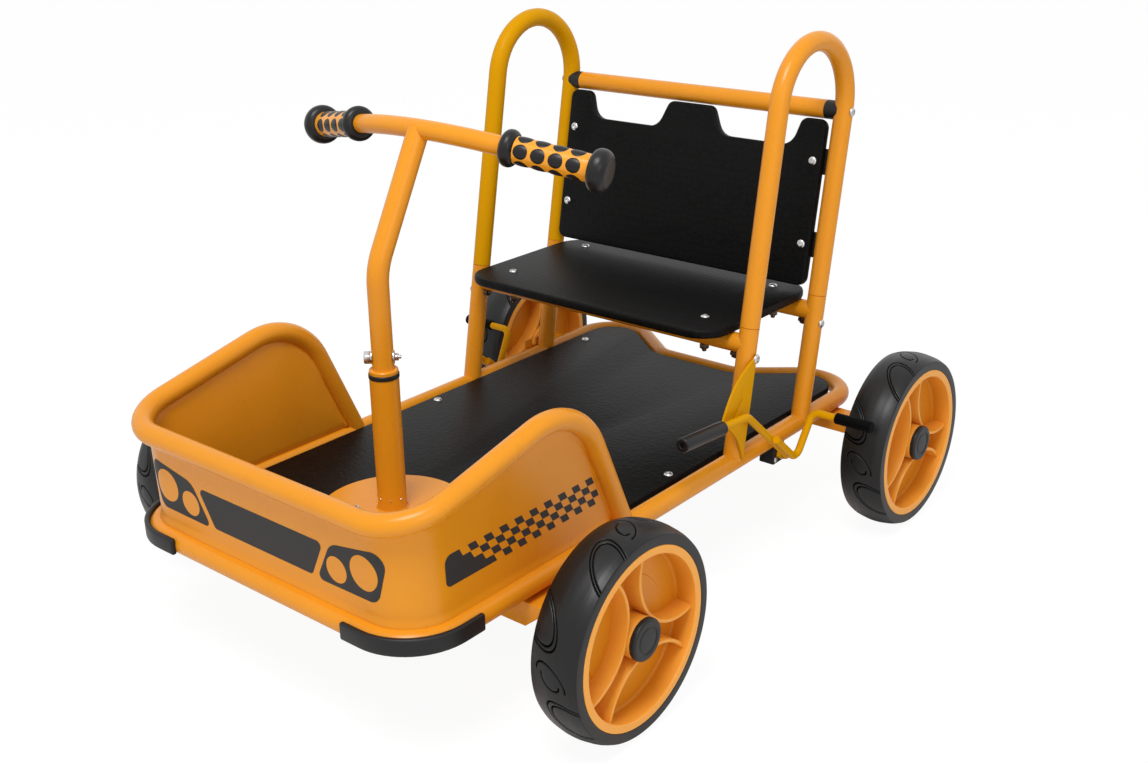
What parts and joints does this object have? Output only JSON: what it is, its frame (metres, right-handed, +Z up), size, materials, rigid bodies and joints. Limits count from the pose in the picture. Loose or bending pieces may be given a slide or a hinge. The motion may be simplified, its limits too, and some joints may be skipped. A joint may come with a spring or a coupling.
{
  "type": "ride-on kart",
  "caption": "Four-wheeled ride-on kart with a tubular frame, front tub, handlebar column that turns the front axle, bench seat between hoops, push bar and a hand brake on the rear tyres.",
  "frame": {"origin": "on the ground, at the centre of the bounding box's bottom face", "axes": "+Z up, -Y forward, +X towards the driver's left"},
  "size_m": [0.7402, 0.965, 0.6695],
  "materials": {
    "orange_paint": "glossy orange powder coat",
    "yellow_paint": "glossy yellow powder coat",
    "board": "black embossed board",
    "black_plastic": "black moulded plastic",
    "orange_plastic": "orange moulded plastic",
    "tyre_rubber": "black rubber",
    "steel": "bright steel"
  },
  "bodies": {
    "chassis": {"deck_frame": "orange_paint", "deck_board": "board", "cross_bar_column": "orange_paint", "cross_bar_mid": "orange_paint", "cross_bar_rear": "orange_paint", "tub_rim": "orange_paint", "tub_panel": "orange_paint", "front_bumper_left": "black_plastic", "front_bumper_right": "black_plastic", "column_flange": "orange_paint", "head_tube": "orange_paint", "head_bush": "black_plastic", "seat_post_front_left": "orange_paint", "seat_post_front_right": "orange_paint", "seat_post_rear_left": "orange_paint", "seat_post_rear_right": "orange_paint", "seat_cross_front": "orange_paint", "seat_cross_rear": "orange_paint", "seat_board": "board", "hoop_left": "orange_paint", "hoop_right": "yellow_paint", "back_board": "board", "back_tab_low_left": "black_plastic", "back_tab_low_right": "black_plastic", "back_tab_high_left": "black_plastic", "back_tab_high_right": "black_plastic", "push_bar": "orange_paint", "push_bar_cap_left": "black_plastic", "push_bar_cap_right": "black_plastic", "rear_axle_beam": "orange_paint", "side_lug_right": "orange_paint", "brake_bearing_left": "black_plastic", "brake_bearing_right": "black_plastic", "brake_fin": "yellow_paint"},
    "steering": {"steering_shaft": "steel", "steering_stem": "orange_paint", "handlebar": "orange_paint", "grip_rubber_left": "black_plastic", "grip_rubber_right": "black_plastic", "grip_sleeve_left": "orange_plastic", "grip_sleeve_right": "orange_plastic", "front_axle_beam": "orange_paint"},
    "brake": {"brake_shaft_and_lever": "yellow_paint", "brake_arm_left": "yellow_paint", "brake_arm_right": "yellow_paint", "brake_sleeve_left": "black_plastic", "brake_sleeve_right": "black_plastic", "lever_grip": "black_plastic"},
    "front_wheel_left": {"front_wheel_left_tyre": "tyre_rubber", "front_wheel_left_rim": "orange_plastic", "front_wheel_left_cap": "black_plastic"},
    "front_wheel_right": {"front_wheel_right_tyre": "tyre_rubber", "front_wheel_right_rim": "orange_plastic", "front_wheel_right_cap": "black_plastic"},
    "rear_wheel_left": {"rear_wheel_left_tyre": "tyre_rubber", "rear_wheel_left_rim": "orange_plastic", "rear_wheel_left_cap": "black_plastic"},
    "rear_wheel_right": {"rear_wheel_right_tyre": "tyre_rubber", "rear_wheel_right_rim": "orange_plastic", "rear_wheel_right_cap": "black_plastic"}
  },
  "joints": [
    {"name": "steer", "type": "hinge", "parent": "chassis", "child": "steering", "pos_m": [0, -0.272, 0.2], "axis": [0, 0, 1], "range_deg": [-20, 20]},
    {"name": "brake_lever", "type": "hinge", "parent": "chassis", "child": "brake", "pos_m": [0, 0.2035, 0.1255], "axis": [-1, 0, 0], "range_deg": [0, 11.5]},
    {"name": "front_left_spin", "type": "hinge", "parent": "steering", "child": "front_wheel_left", "pos_m": [0.3369, -0.2665, 0.12], "axis": [1, 0, 0], "continuous": true},
    {"name": "front_right_spin", "type": "hinge", "parent": "steering", "child": "front_wheel_right", "pos_m": [-0.3369, -0.2665, 0.12], "axis": [1, 0, 0], "continuous": true},
    {"name": "rear_left_spin", "type": "hinge", "parent": "chassis", "child": "rear_wheel_left", "pos_m": [0.3369, 0.3625, 0.12], "axis": [1, 0, 0], "continuous": true},
    {"name": "rear_right_spin", "type": "hinge", "parent": "chassis", "child": "rear_wheel_right", "pos_m": [-0.3369, 0.3625, 0.12], "axis": [1, 0, 0], "continuous": true}
  ]
}
